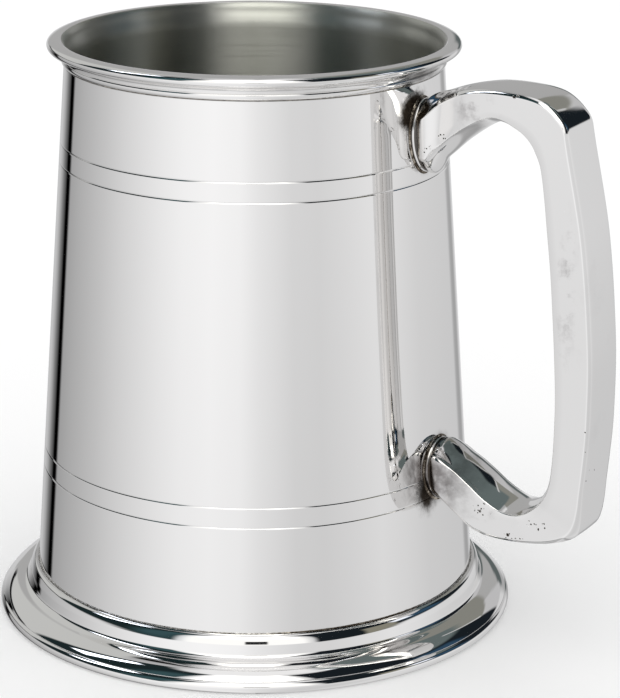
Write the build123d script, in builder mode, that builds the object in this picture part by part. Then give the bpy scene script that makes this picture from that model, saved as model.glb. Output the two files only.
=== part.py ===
from build123d import *
import math
import os

# Pewter pint tankard, without a lid. Millimetres, +Z up.
# The origin is the centre of the foot's resting ring, the drum's axis is Z and the handle is on +X.

# --- Driving dimensions -------------------------------------------------------------------------

# Drum: a straight taper with turned lines
DRUM_REF_Z = 18.0  # height at which the taper is given
DRUM_REF_R = 45.63  # outer radius there
DRUM_TAPER = 0.07083  # radius lost per unit of height
WALL = 1.3
DRUM_BOTTOM_Z = 9.7
DRUM_TOP_Z = 115.8
GROOVE_HEIGHTS = (31.2, 35.3, 96.1, 100.1)  # two pairs of turned lines
GROOVE_WIDTH = 0.55
GROOVE_DEPTH = 0.2

# Solder: thin seams between the turned parts
SEAM = 0.2
FOOT_SEAM_PROUD = 0.25  # the foot's seam was never quite cleaned off

# Mouth moulding: a bead, a cove and a trumpet lip
MOUTH_BOTTOM_Z = DRUM_TOP_Z + SEAM
BEAD_STEP = 0.25
BEAD_BULGE = 0.5
BEAD_TOP_Z = 117.3
LIP_R = 42.2
LIP_UNDER = (41.3, 118.9)
LIP_EDGE_Z = 120.0
LIP_SHOULDER = (41.6, 120.6)
LIP_CREST = (39.8, 121.0)
LIP_THROAT = (38.3, 119.4)

# Foot moulding: a shoulder, a steep neck, an ogee and a rounded edge over a flat resting ring
FOOT_TOP_Z = DRUM_BOTTOM_Z - SEAM
FOOT_TOP_R = 46.5
SHOULDER_ROUND = (47.6, 8.9)  # a point on the shoulder's arc
NECK_TOP = (48.0, 7.7)
NECK_END = (48.35, 5.8)
OGEE_TURN = (51.4, 4.35)  # where the hollow of the ogee turns into its round
OGEE_END = (53.8, 2.5)
FOOT_R = 54.5
FOOT_EDGE_Z = 1.5
REST_OUTER_R = 53.9
REST_INNER_R = 52.2
FOOT_HOLLOW = (49.4, 2.9)  # a point on the hollow underside
FOOT_BORE_Z = 5.7

# Floor of the cup
FLOOR_TOP_Z = 12.2
FLOOR_THICK = 1.5
FLOOR_FILLET = 1.0  # legs of the solder fillet under the floor

# Handle: hollow, with flat sides, a nearly flat back and a crowned grip face
HANDLE_HALF_WIDTH = 6.15
HANDLE_BEVEL = 0.6
BACK_CROWN = 0.2
GRIP_CROWN = 1.6
CROWNS = (BACK_CROWN, GRIP_CROWN)
HANDLE_WALL = 1.8

# Root plates between the handle's ends and the drum, and the solder round them
PLATE_THICK = 1.0
PLATE_PROUD = 0.45  # how far a plate stands out round the handle's end
SOLDER_PROUD = 0.8  # how far the solder stands out round a plate
SOLDER_THICK = 0.45
UPPER_ROOT_Z = 105.3
UPPER_ROOT_HALF = (4.7, 6.9)  # half width and half height of the handle's end
LOWER_ROOT_Z = 36.6
LOWER_ROOT_HALF = (5.4, 5.9)


def drum_radius(z):
    """Outer radius of the drum at a height."""
    return DRUM_REF_R - DRUM_TAPER * (z - DRUM_REF_Z)


def keep(part, label):
    """Label a finished piece and write its STEP file."""
    part.label = label
    export_step(part, f"parts/{label}.step")
    print(f"{label}: {part.volume / 1000:.2f} cm3, {len(part.solids())} solid")


os.makedirs("parts", exist_ok=True)

# --- Drum wall ----------------------------------------------------------------------------------

with BuildPart() as drum_wall:
    with BuildSketch(Plane.XZ):
        with BuildLine():
            Polyline(
                (drum_radius(DRUM_BOTTOM_Z) - WALL, DRUM_BOTTOM_Z),
                (drum_radius(DRUM_BOTTOM_Z), DRUM_BOTTOM_Z),
                (drum_radius(DRUM_TOP_Z), DRUM_TOP_Z),
                (drum_radius(DRUM_TOP_Z) - WALL, DRUM_TOP_Z),
                close=True,
            )
        make_face()
        for groove_z in GROOVE_HEIGHTS:
            with BuildLine():
                Polyline(
                    (drum_radius(groove_z) - GROOVE_DEPTH, groove_z),
                    (drum_radius(groove_z) + GROOVE_DEPTH, groove_z - GROOVE_WIDTH),
                    (drum_radius(groove_z) + GROOVE_DEPTH, groove_z + GROOVE_WIDTH),
                    close=True,
                )
            make_face(mode=Mode.SUBTRACT)
    revolve(axis=Axis.Z)

keep(drum_wall.part, "drum_wall")

# The space inside the drum's outer face, used to trim what is soldered to it
with BuildPart() as drum_core:
    with BuildSketch(Plane.XZ):
        with BuildLine():
            Polyline(
                (0, DRUM_BOTTOM_Z),
                (drum_radius(DRUM_BOTTOM_Z), DRUM_BOTTOM_Z),
                (drum_radius(DRUM_TOP_Z), DRUM_TOP_Z),
                (0, DRUM_TOP_Z),
                close=True,
            )
        make_face()
    revolve(axis=Axis.Z)

# --- Mouth moulding -----------------------------------------------------------------------------
# A turned ring soldered on top of the drum. Its lip flares out like a trumpet.

mouth_r = drum_radius(MOUTH_BOTTOM_Z)

with BuildPart() as mouth_moulding:
    with BuildSketch(Plane.XZ):
        with BuildLine():
            Line((mouth_r - WALL, MOUTH_BOTTOM_Z), (mouth_r + BEAD_STEP, MOUTH_BOTTOM_Z))
            ThreePointArc(
                (mouth_r + BEAD_STEP, MOUTH_BOTTOM_Z),
                (mouth_r + BEAD_BULGE, (MOUTH_BOTTOM_Z + BEAD_TOP_Z) / 2),
                (mouth_r + BEAD_STEP, BEAD_TOP_Z),
            )
            Spline((mouth_r + BEAD_STEP, BEAD_TOP_Z), LIP_UNDER, tangents=[(0, 1), (1, 0.1)])
            ThreePointArc(LIP_UNDER, (LIP_R, LIP_EDGE_Z), LIP_SHOULDER)
            Spline(LIP_SHOULDER, LIP_CREST, LIP_THROAT, tangents=[(-1, 0.35), (-0.2, -1)])
            Spline(
                LIP_THROAT,
                (mouth_r - WALL, MOUTH_BOTTOM_Z),
                tangents=[(-0.2, -1), (DRUM_TAPER, -1)],
            )
        make_face()
    revolve(axis=Axis.Z)

keep(mouth_moulding.part, "mouth_moulding")

# The line of solder under the mouth moulding, turned flush with the drum
with BuildPart() as mouth_solder_seam:
    with BuildSketch(Plane.XZ):
        with BuildLine():
            Polyline(
                (mouth_r - WALL, DRUM_TOP_Z),
                (mouth_r, DRUM_TOP_Z),
                (mouth_r, MOUTH_BOTTOM_Z),
                (mouth_r - WALL, MOUTH_BOTTOM_Z),
                close=True,
            )
        make_face()
    revolve(axis=Axis.Z)

keep(mouth_solder_seam.part, "mouth_solder_seam")

# --- Foot moulding ------------------------------------------------------------------------------
# A cast and turned ring with a hollow underside.

foot_r = drum_radius(DRUM_BOTTOM_Z)

with BuildPart() as foot_moulding:
    with BuildSketch(Plane.XZ):
        with BuildLine():
            Line((foot_r - WALL, FOOT_TOP_Z), (FOOT_TOP_R, FOOT_TOP_Z))
            ThreePointArc((FOOT_TOP_R, FOOT_TOP_Z), SHOULDER_ROUND, NECK_TOP)
            Line(NECK_TOP, NECK_END)
            Spline(NECK_END, OGEE_TURN, tangents=[(0.2, -1), (1, -0.35)])
            Spline(OGEE_TURN, OGEE_END, tangents=[(1, -0.35), (0.55, -1)])
            ThreePointArc(OGEE_END, (FOOT_R, FOOT_EDGE_Z), (REST_OUTER_R, 0))
            Line((REST_OUTER_R, 0), (REST_INNER_R, 0))
            Spline(
                (REST_INNER_R, 0),
                FOOT_HOLLOW,
                (foot_r - WALL, FOOT_BORE_Z),
                tangents=[(-0.3, 1), (-0.5, 1)],
            )
            Line((foot_r - WALL, FOOT_BORE_Z), (foot_r - WALL, FOOT_TOP_Z))
        make_face()
    revolve(axis=Axis.Z)

keep(foot_moulding.part, "foot_moulding")

# The seam between the foot and the drum, a little proud of both
with BuildPart() as foot_solder_seam:
    with BuildSketch(Plane.XZ):
        with BuildLine():
            Polyline(
                (foot_r - WALL, FOOT_TOP_Z),
                (foot_r + FOOT_SEAM_PROUD, FOOT_TOP_Z),
                (foot_r + FOOT_SEAM_PROUD, DRUM_BOTTOM_Z),
                (foot_r - WALL, DRUM_BOTTOM_Z),
                close=True,
            )
        make_face()
    revolve(axis=Axis.Z)

keep(foot_solder_seam.part, "foot_solder_seam")

# --- Floor --------------------------------------------------------------------------------------
# A disc let into the drum, held by a fillet of solder underneath.


def bore_radius(z):
    """Inner radius of the drum at a height."""
    return drum_radius(z) - WALL


floor_under_z = FLOOR_TOP_Z - FLOOR_THICK

with BuildPart() as floor_disc:
    with BuildSketch(Plane.XZ):
        with BuildLine():
            Polyline(
                (0, floor_under_z),
                (bore_radius(floor_under_z), floor_under_z),
                (bore_radius(FLOOR_TOP_Z), FLOOR_TOP_Z),
                (0, FLOOR_TOP_Z),
                close=True,
            )
        make_face()
    revolve(axis=Axis.Z)

keep(floor_disc.part, "floor_disc")

with BuildPart() as floor_solder_seam:
    with BuildSketch(Plane.XZ):
        with BuildLine():
            Polyline(
                (bore_radius(floor_under_z), floor_under_z),
                (bore_radius(floor_under_z) - FLOOR_FILLET, floor_under_z),
                (bore_radius(floor_under_z - FLOOR_FILLET), floor_under_z - FLOOR_FILLET),
                close=True,
            )
        make_face()
    revolve(axis=Axis.Z)

keep(floor_solder_seam.part, "floor_solder_seam")

# --- Roots of the handle ------------------------------------------------------------------------
# Each end of the handle meets an oval plate that is soldered to the drum.

drum_lean = math.atan(DRUM_TAPER)


def root_plane(z, standoff):
    """A plane facing out of the drum at a height, standing off its surface. Its Y leans with the wall."""
    outward = Vector(math.cos(drum_lean), 0, math.sin(drum_lean))
    on_drum = Vector(drum_radius(z), 0, z)
    return Plane(origin=on_drum + outward * standoff, x_dir=(0, 1, 0), z_dir=outward)


def root_plate(z, half):
    """The oval plate between the drum and a handle end of the given half width and half height."""
    with BuildPart() as plate:
        with BuildSketch(root_plane(z, PLATE_THICK)):
            Ellipse(half[0] + PLATE_PROUD, half[1] + PLATE_PROUD)
        extrude(amount=-2 * PLATE_THICK)
        add(drum_core.part, mode=Mode.SUBTRACT)
    return plate.part


def root_solder(z, half):
    """The bead of solder that lies on the drum all round a root plate."""
    with BuildPart() as bead:
        with BuildSketch(root_plane(z, SOLDER_THICK)):
            Ellipse(half[0] + PLATE_PROUD + SOLDER_PROUD, half[1] + PLATE_PROUD + SOLDER_PROUD)
            Ellipse(half[0] + PLATE_PROUD, half[1] + PLATE_PROUD, mode=Mode.SUBTRACT)
        extrude(amount=-2 * PLATE_THICK)
        add(drum_core.part, mode=Mode.SUBTRACT)
    return bead.part


keep(root_plate(UPPER_ROOT_Z, UPPER_ROOT_HALF), "upper_root_plate")
keep(root_plate(LOWER_ROOT_Z, LOWER_ROOT_HALF), "lower_root_plate")
keep(root_solder(UPPER_ROOT_Z, UPPER_ROOT_HALF), "upper_root_solder")
keep(root_solder(LOWER_ROOT_Z, LOWER_ROOT_HALF), "lower_root_solder")

# --- Handle -------------------------------------------------------------------------------------
# A hollow casting, lofted through sections that run from the upper root round to the lower one.
# A section is given by two edges in the XZ plane: the edge of the back, and the edge of the grip
# face, which is the side that the fingers go round.

BAR_EDGES = (
    ((57.5, 117.3), (57.2, 111.9)),
    ((64.3, 117.0), (61.9, 110.7)),
    ((69.6, 115.4), (64.6, 109.0)),
    ((72.6, 113.0), (66.3, 107.0)),
    ((74.1, 108.0), (67.6, 104.6)),
    ((75.6, 100.2), (68.6, 100.0)),
    ((77.4, 92.0), (69.8, 92.0)),
    ((79.2, 78.0), (71.3, 78.0)),
    ((80.2, 64.0), (72.3, 64.0)),
    ((80.2, 52.0), (72.7, 52.0)),
    ((79.2, 40.0), (72.2, 41.0)),
    ((78.8, 33.4), (71.2, 37.0)),
    ((77.4, 29.1), (69.4, 34.6)),
    ((72.0, 27.0), (66.6, 32.6)),
    ((62.6, 26.1), (62.8, 32.0)),
    ((55.6, 26.7), (58.4, 33.4)),
)


def handle_section(back, grip, half_width, bevel, back_crown, grip_crown):
    """One section: a crowned back with two bevels, two flat sides and a crowned grip face."""
    inward = (grip - back).normalized()
    depth = (grip - back).length
    flat = half_width - bevel
    with BuildSketch(Plane(origin=back, x_dir=inward, z_dir=inward.cross(Vector(0, 1, 0)))) as section:
        with BuildLine():
            Line((bevel, -half_width), (depth, -half_width))
            ThreePointArc((depth, -half_width), (depth + grip_crown, 0), (depth, half_width))
            Line((depth, half_width), (bevel, half_width))
            Line((bevel, half_width), (0, flat))
            ThreePointArc((0, flat), (-back_crown, 0), (0, -flat))
            Line((0, -flat), (bevel, -half_width))
        make_face()
    return section.sketch


def end_section(z, half, bevel, back_crown, grip_crown, back_side):
    """The nearly oval section where the handle meets a root plate. back_side is 1 when the back is up."""
    plane = root_plane(z, PLATE_THICK)
    back = plane.origin + plane.y_dir * back_side * (half[1] - back_crown)
    grip = plane.origin - plane.y_dir * back_side * (half[1] - grip_crown)
    return back, grip, half[0], bevel, back_crown, grip_crown


def bar_section(back, grip, half_width=HANDLE_HALF_WIDTH, bevel=HANDLE_BEVEL, crowns=CROWNS):
    """A section given by its two edges in the XZ plane."""
    return Vector(back[0], 0, back[1]), Vector(grip[0], 0, grip[1]), half_width, bevel, *crowns


handle_stations = [
    end_section(UPPER_ROOT_Z, UPPER_ROOT_HALF, 1.6, 1.5, 2.6, 1),
    bar_section((45.6, 114.4), (45.2, 104.2), 5.2, 1.2, (0.9, 2.7)),
    bar_section((51.0, 116.5), (50.3, 108.4), 5.9, 0.8, (0.5, 2.4)),
    *[bar_section(back, grip) for back, grip in BAR_EDGES],
    bar_section((51.4, 28.9), (53.8, 36.7), 6.0, 0.8, (0.6, 2.0)),
    end_section(LOWER_ROOT_Z, LOWER_ROOT_HALF, 1.4, 1.7, 1.8, -1),
]


def hollow_section(back, grip, half_width, bevel, back_crown, grip_crown):
    """The section of the hollow inside the handle."""
    inward = (grip - back).normalized()
    edge_cover = HANDLE_WALL / 4
    return (
        back + inward * HANDLE_WALL,
        grip - inward * edge_cover,
        half_width - HANDLE_WALL,
        bevel / 2,
        back_crown,
        grip_crown - HANDLE_WALL + edge_cover,
    )


SECTION_GAP = 2.0  # greatest distance between neighbouring sections


def station_gap(first, second):
    """Distance between the middles of two stations."""
    return ((first[0] + first[1]) * 0.5 - (second[0] + second[1]) * 0.5).length


def slopes(stations, gaps, i):
    """Rates of change of a station's numbers along the handle: a weighted mean of both sides."""
    before = max(i - 1, 0)
    after = min(i + 1, len(stations) - 1)
    gap_in = gaps[before]
    gap_out = gaps[after - 1]
    rates = []
    for low, here, high in zip(stations[before], stations[i], stations[after]):
        rate_in = (here - low) * (1 / gap_in)
        rate_out = (high - here) * (1 / gap_out)
        share_in = gap_out if before < i else 0
        share_out = gap_in if after > i else 0
        rates.append((rate_in * share_in + rate_out * share_out) * (1 / (share_in + share_out)))
    return rates


def smooth_stations(stations):
    """Add sections between the stations on smooth cubic curves."""
    gaps = [station_gap(*pair) for pair in zip(stations, stations[1:])]
    filled = []
    for i, gap in enumerate(gaps):
        leaving = slopes(stations, gaps, i)
        arriving = slopes(stations, gaps, i + 1)
        steps = math.ceil(gap / SECTION_GAP)
        for step in range(steps):
            t = step / steps
            start_share = 1 - 3 * t**2 + 2 * t**3
            start_pull = (t - 2 * t**2 + t**3) * gap
            end_pull = (t**3 - t**2) * gap
            filled.append(
                [
                    a * start_share + b * (1 - start_share) + out * start_pull + back_in * end_pull
                    for a, b, out, back_in in zip(stations[i], stations[i + 1], leaving, arriving)
                ]
            )
    return filled + [stations[-1]]


with BuildPart() as handle_casting:
    loft(sections=[handle_section(*station) for station in smooth_stations(handle_stations)], ruled=True)
    hollow_stations = [hollow_section(*station) for station in handle_stations]
    loft(sections=[handle_section(*station) for station in hollow_stations], ruled=True, mode=Mode.SUBTRACT)

keep(handle_casting.part, "handle_casting")
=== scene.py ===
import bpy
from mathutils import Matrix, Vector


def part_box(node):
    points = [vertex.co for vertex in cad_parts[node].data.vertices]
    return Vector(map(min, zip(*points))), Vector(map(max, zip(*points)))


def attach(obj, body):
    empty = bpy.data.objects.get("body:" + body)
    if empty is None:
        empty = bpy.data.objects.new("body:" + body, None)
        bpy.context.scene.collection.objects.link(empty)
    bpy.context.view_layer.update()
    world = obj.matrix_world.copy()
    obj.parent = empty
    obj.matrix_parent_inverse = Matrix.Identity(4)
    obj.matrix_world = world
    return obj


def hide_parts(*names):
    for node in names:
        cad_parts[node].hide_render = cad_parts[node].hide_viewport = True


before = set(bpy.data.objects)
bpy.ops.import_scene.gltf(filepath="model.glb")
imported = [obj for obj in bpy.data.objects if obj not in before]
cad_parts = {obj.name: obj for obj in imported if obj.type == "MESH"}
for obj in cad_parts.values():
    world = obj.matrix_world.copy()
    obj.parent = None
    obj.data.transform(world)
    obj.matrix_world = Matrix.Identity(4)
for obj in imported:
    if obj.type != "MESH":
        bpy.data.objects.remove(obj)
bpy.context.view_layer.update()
print("nodes:", sorted(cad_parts))

# %% [markdown]
# ## Driving sizes
# The frame holds each CAD node's box, and a turned part is nearly described by its box: the widest
# radius is the box's reach along X, and the heights are the box's Z. The drum's taper follows from its
# radius at the bottom and from the radius of the seam that lies on its top.
# %% Sizes of the turned parts
import math

import bmesh
import bpy
from mathutils import Matrix, Vector
from mathutils.geometry import interpolate_bezier

MM = 0.001

drum_low, drum_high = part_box("drum_wall")
seam_low, seam_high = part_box("mouth_solder_seam")
mouth_low, mouth_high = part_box("mouth_moulding")
foot_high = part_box("foot_moulding")[1]
floor_low, floor_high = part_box("floor_disc")

drum_bottom_z, drum_top_z = drum_low.z, drum_high.z
drum_bottom_r, drum_top_r = drum_high.x, seam_high.x
taper = (drum_bottom_r - drum_top_r) / (drum_top_z - drum_bottom_z)


def drum_radius(z):
    """Outer radius of the drum at a height."""
    return drum_bottom_r - taper * (z - drum_bottom_z)


wall = drum_radius(floor_low.z) - floor_high.x
print(f"drum {drum_bottom_r / MM:.2f} to {drum_top_r / MM:.2f} mm radius, wall {wall / MM:.2f} mm")

# %% [markdown]
# ## Profiles
# A turned part is known by its profile, a closed line of (radius, height) points. Two habits make the
# result look like metal. No edge that light strikes is a perfect corner, so arcs and Bezier curves
# carry the profile round it. And smooth shading averages the normals at a vertex, which would bend the
# reflection in a long straight wall beside a small rounding, so a long stretch gets a holding point
# close to each of its ends.
# %% Arcs, curves and holding points
HOLD = 0.3 * MM
LONG_STRETCH = 5 * HOLD


def arc_points(start, end, bulge, count):
    """Points from start to end on an arc. bulge is its height, to the left of the way from start to end."""
    a, b = Vector(start), Vector(end)
    half = (b - a).length / 2
    left = Vector((-(b - a).y, (b - a).x)).normalized()
    radius = (half * half + bulge * bulge) / (2 * abs(bulge))
    side = math.copysign(1, bulge)
    centre = (a + b) / 2 + left * side * (abs(bulge) - radius)
    turn = 2 * math.asin(min(1, half / radius)) * -side
    spoke = a - centre
    return [centre + Matrix.Rotation(turn * i / count, 2) @ spoke for i in range(count + 1)]


def curve_points(start, start_pull, end_pull, end, count=16):
    """Points on a Bezier curve in the profile plane."""
    handles = [Vector((*p, 0)) for p in (start, start_pull, end_pull, end)]
    return [p.xy for p in interpolate_bezier(*handles, count)]


def with_holds(points):
    """The same closed outline with a holding point near each end of its long straight stretches."""
    held = []
    for here, after in zip(points, points[1:] + points[:1]):
        held.append(here)
        step = Vector(after) - Vector(here)
        if step.length > LONG_STRETCH:
            inset = step.normalized() * HOLD
            held += [Vector(here) + inset, Vector(after) - inset]
    return held


print(f"a stretch over {LONG_STRETCH / MM:.1f} mm is held {HOLD / MM:.1f} mm from its ends")

# %% [markdown]
# ## A lathe
# Turned metal is made on a lathe, and bmesh has one: `spin` carries a wire round an axis. With
# `use_merge` the last step is welded to the first, so a closed profile comes out as a closed skin. An
# edge is marked sharp where its two faces meet at a wide angle, and smooth everywhere else.
# %% Wire, spin and finish
SPIN_STEPS = 288
SHARP_FOLD = math.radians(32)
MERGE_REACH = 0.002 * MM


def wire(bm, points):
    """A closed wire of edges through (radius, height) points in the XZ plane."""
    verts = [bm.verts.new((p[0], 0, p[1])) for p in points]
    for here, after in zip(verts, verts[1:] + verts[:1]):
        bm.edges.new((here, after))
    return verts


def spin_round(bm, steps):
    """Carry everything that the bmesh holds once round the Z axis."""
    bmesh.ops.spin(
        bm, geom=bm.verts[:] + bm.edges[:], axis=(0, 0, 1), cent=(0, 0, 0),
        steps=steps, angle=math.tau, use_merge=True,
    )


def finish_mesh(bm, name, smooth_angle=SHARP_FOLD):
    """Clean a bmesh, turn its faces outwards and make it an object, sharp where it folds."""
    bmesh.ops.remove_doubles(bm, verts=bm.verts[:], dist=MERGE_REACH)
    bmesh.ops.recalc_face_normals(bm, faces=bm.faces[:])
    for face in bm.faces:
        face.smooth = True
    for edge in bm.edges:
        edge.smooth = edge.calc_face_angle(0) < smooth_angle
    mesh = bpy.data.meshes.new(name)
    bm.to_mesh(mesh)
    bm.free()
    piece = bpy.data.objects.new(name, mesh)
    bpy.context.scene.collection.objects.link(piece)
    print(f"{name}: {len(mesh.polygons)} faces")
    return piece


def turn_profile(name, points, steps=SPIN_STEPS):
    """Spin a closed profile once round the axis."""
    bm = bmesh.new()
    wire(bm, points)
    spin_round(bm, steps)
    return finish_mesh(bm, name)


print(f"one step of the lathe turns {360 / SPIN_STEPS} degrees")

# %% [markdown]
# ## The drum wall
# The drum is one wall, turned outside and inside. Two pairs of fine lines run round it: the turner
# pressed the corner of the tool in and left a V with slightly burnished lips. They are real grooves
# here, because a mirror shows the smallest dent as a broken reflection.
# %% Turn the drum
GROOVE_HEIGHTS = (31.2, 35.3, 96.1, 100.1)  # in millimetres over the table
GROOVE_HALF = 0.15 * MM
GROOVE_LIP = GROOVE_HALF * 1.9
GROOVE_DEPTH = 0.09 * MM
GROOVE_SHAPE = ((-GROOVE_LIP, 0), (-GROOVE_HALF, 0), (0, GROOVE_DEPTH), (GROOVE_HALF, 0), (GROOVE_LIP, 0))


def groove(z):
    """The points of one turned line, from below to above."""
    return [(drum_radius(z + offset) - depth, z + offset) for offset, depth in GROOVE_SHAPE]


drum_outline = [(drum_bottom_r - wall, drum_bottom_z), (drum_bottom_r, drum_bottom_z)]
for groove_height in GROOVE_HEIGHTS:
    drum_outline += groove(groove_height * MM)
drum_outline += [(drum_top_r, drum_top_z), (drum_top_r - wall, drum_top_z)]
drum = turn_profile("drum_wall_turned", with_holds(drum_outline))

# %% [markdown]
# ## The mouth moulding
# Above the drum stands a small bead, then a hollow cove, then the lip, which flares like a trumpet and
# is rounded over so that it is pleasant to drink from. Bezier curves give the cove and the flare, and
# arcs give the bead and the edge of the lip. The inside of the curve runs on into the bore of the drum.
# %% Turn the mouth
bead_foot = (drum_top_r + 0.15 * MM, mouth_low.z)
bead_top = (drum_top_r + 0.25 * MM, mouth_low.z + 1.3 * MM)
lip_under = (mouth_high.x - 0.85 * MM, mouth_high.z - 2.1 * MM)
lip_shoulder = (mouth_high.x - 0.7 * MM, mouth_high.z - 0.38 * MM)
lip_crest = (mouth_high.x - 2.5 * MM, mouth_high.z)
throat = (mouth_high.x - 3.9 * MM, mouth_high.z - 1.6 * MM)
bore_top = (drum_top_r - wall, mouth_low.z)
cove_low = (bead_top[0] - 0.05 * MM, bead_top[1] + 1.1 * MM)
cove_high = (lip_under[0] - 1.3 * MM, lip_under[1] - 0.1 * MM)
mouth_outline = [
    *arc_points(bead_foot, bead_top, -0.3 * MM, 10),
    *curve_points(bead_top, cove_low, cove_high, lip_under)[1:],
    *arc_points(lip_under, lip_shoulder, -0.62 * MM, 10)[1:],
    *curve_points(
        lip_shoulder, (lip_shoulder[0] - 0.6 * MM, lip_shoulder[1] + 0.3 * MM),
        (lip_crest[0] + 0.5 * MM, lip_crest[1]), lip_crest, 8,
    )[1:],
    *curve_points(
        lip_crest, (lip_crest[0] - 0.8 * MM, lip_crest[1]),
        (throat[0] + 0.1 * MM, throat[1] + 0.8 * MM), throat, 12,
    )[1:],
    *curve_points(
        throat, (throat[0] - 0.12 * MM, throat[1] - 1.0 * MM),
        (bore_top[0] - taper * 1.6 * MM, bore_top[1] + 1.6 * MM), bore_top, 10,
    )[1:],
]
mouth = turn_profile("mouth_moulding_turned", with_holds(mouth_outline))

# %% [markdown]
# Between the drum and the mouth lies a hair of solder. It was cleaned off after the soldering, so it
# sits a little below the surface, and shows only as a fine dark line under the bead.
# %% Lay the mouth's seam
SEAM_SUNK = 0.05 * MM
seam_inner_r = drum_top_r - wall
seam_outer_r = drum_top_r - SEAM_SUNK
mouth_seam_outline = [
    (seam_inner_r, seam_low.z), (seam_outer_r, seam_low.z),
    (seam_outer_r, seam_high.z), (seam_inner_r, seam_high.z),
]
mouth_seam = turn_profile("mouth_solder_seam_turned", with_holds(mouth_seam_outline))

# %% [markdown]
# ## The foot
# The foot is one casting, turned outside. A flat top rounds over a shoulder into a short steep neck,
# which sweeps out in an ogee: first hollow, then round. A fine groove parts the round from the edge,
# which meets the table on a narrow flat ring. Underneath it is hollow, as a casting of even thickness
# has to be, or it would shrink and tear as it cools. The tight hollow and the broad round mirror the
# same room twice.
# %% Turn the foot
foot_top_z = foot_high.z
foot_r = 54.5 * MM  # the edge's arc carries the casting a hair past this
foot_bore = drum_bottom_r - wall
shoulder_start = (drum_bottom_r + 0.3 * MM, foot_top_z)
shoulder_end = (drum_bottom_r + 1.78 * MM, foot_top_z - 1.8 * MM)
neck_end = (shoulder_end[0] + 0.35 * MM, foot_top_z - 3.7 * MM)
ogee_turn = (foot_r - 3.1 * MM, 4.35 * MM)
ogee_end = (foot_r - 0.75 * MM, 2.5 * MM)
edge_groove = (ogee_end[0] - 0.02 * MM, ogee_end[1] - 0.12 * MM)
rest_outer = (foot_r - 0.6 * MM, 0)
rest_inner = (foot_r - 2.3 * MM, 0)
foot_outline = [
    (foot_bore, foot_top_z),
    *curve_points(
        shoulder_start, (shoulder_start[0] + 0.95 * MM, shoulder_start[1]),
        (shoulder_end[0] - 0.32 * MM, shoulder_end[1] + 0.9 * MM), shoulder_end, 14,
    ),
    *curve_points(
        neck_end, (neck_end[0] + 0.35 * MM, neck_end[1] - 0.95 * MM),
        (ogee_turn[0] - 1.2 * MM, ogee_turn[1] + 0.62 * MM), ogee_turn, 18,
    ),
    *curve_points(
        ogee_turn, (ogee_turn[0] + 1.1 * MM, ogee_turn[1] - 0.5 * MM),
        (ogee_end[0] - 0.5 * MM, ogee_end[1] + 0.75 * MM), ogee_end, 16,
    )[1:],
    edge_groove,
    *arc_points((edge_groove[0] + 0.07 * MM, edge_groove[1] - 0.07 * MM), rest_outer, 0.66 * MM, 14),
    rest_inner,
    *curve_points(
        (rest_inner[0] - 0.1 * MM, 0.3 * MM), (rest_inner[0] - 0.9 * MM, 3.2 * MM),
        (foot_bore + 3.6 * MM, 3.6 * MM), (foot_bore, 5.7 * MM), 14,
    ),
]
foot = turn_profile("foot_moulding_turned", with_holds(foot_outline))

# %% [markdown]
# The seam above the foot was never quite cleaned off. It stands a hair proud of the drum, and its
# surface is uneven, so a ring of small random waves is pressed into it. The seed is fixed: the same
# seam comes out every time.
# %% Lay the foot's seam
import random

SEAM_STEPS = 720
# of the height by which the bead stands proud, how much is even and how much is waves
SMOOTH_SHARE = 0.4
WAVE_SHARE = 0.6

bead_low, bead_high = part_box("foot_solder_seam")
seam_proud = bead_high.x - drum_bottom_r
foot_seam_outline = [
    (foot_bore, bead_low.z),
    *arc_points(
        (drum_bottom_r, bead_low.z), (drum_bottom_r, bead_high.z), -seam_proud * SMOOTH_SHARE, 4
    ),
    (foot_bore, bead_high.z),
]
foot_seam = turn_profile("foot_solder_seam_bead", foot_seam_outline, SEAM_STEPS)
waves = random.Random(7)
for vertex in foot_seam.data.vertices:
    radius = vertex.co.xy.length
    if radius > drum_bottom_r + 0.01 * MM:
        vertex.co.xy *= 1 + (waves.random() * seam_proud * WAVE_SHARE) / radius
print(f"the seam stands {seam_proud / MM:.2f} mm proud at most")

# %% [markdown]
# ## The floor
# The floor is a plain disc let into the drum, with a fillet of solder run round underneath. Inside the
# cup the same solder shows as a soft rounding at the wall, so the disc gets a rounded rim.
# %% Turn the floor and its fillet
def bore_radius(z):
    """Inner radius of the drum at a height."""
    return drum_radius(z) - wall


rim_r = bore_radius(floor_high.z)
floor_top_z = floor_high.z - 0.3 * MM
floor_outline = [
    (0, floor_low.z),
    (bore_radius(floor_low.z), floor_low.z),
    (rim_r, floor_high.z),
    (rim_r - 1.2 * MM, floor_high.z - 0.25 * MM),
    (rim_r - 3.0 * MM, floor_top_z),
    (0.5 * MM, floor_top_z),
    (0, floor_top_z),
]
floor_disc = turn_profile("floor_disc_turned", floor_outline)

fillet_low, fillet_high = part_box("floor_solder_seam")
fillet_reach = fillet_high.z - fillet_low.z
fillet_r = bore_radius(fillet_high.z)
fillet_outline = [
    (fillet_high.x, fillet_low.z),
    (fillet_r, fillet_high.z),
    *arc_points(
        (fillet_r - fillet_reach, fillet_high.z),
        (fillet_high.x - 0.05 * MM, fillet_low.z), 0.18 * MM, 6,
    ),
]
floor_fillet = turn_profile("floor_solder_fillet", fillet_outline)

# %% [markdown]
# ## The roots
# Each end of the handle stands on a thin oval plate, and a bead of solder runs round the plate. Both lie
# on a cone, not on a plane. So each is spun as a ring round its own middle, and then laid on the drum:
# the ring's radius is stretched into an oval, and its height is counted from the drum's surface.
# %% Read the two roots from the frame
from collections import namedtuple

Root = namedtuple("Root", "centre half_wide half_high thick")
lean = math.atan(taper)
outward = Vector((math.cos(lean), 0, math.sin(lean)))
up_wall = Vector((-math.sin(lean), 0, math.cos(lean)))


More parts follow.
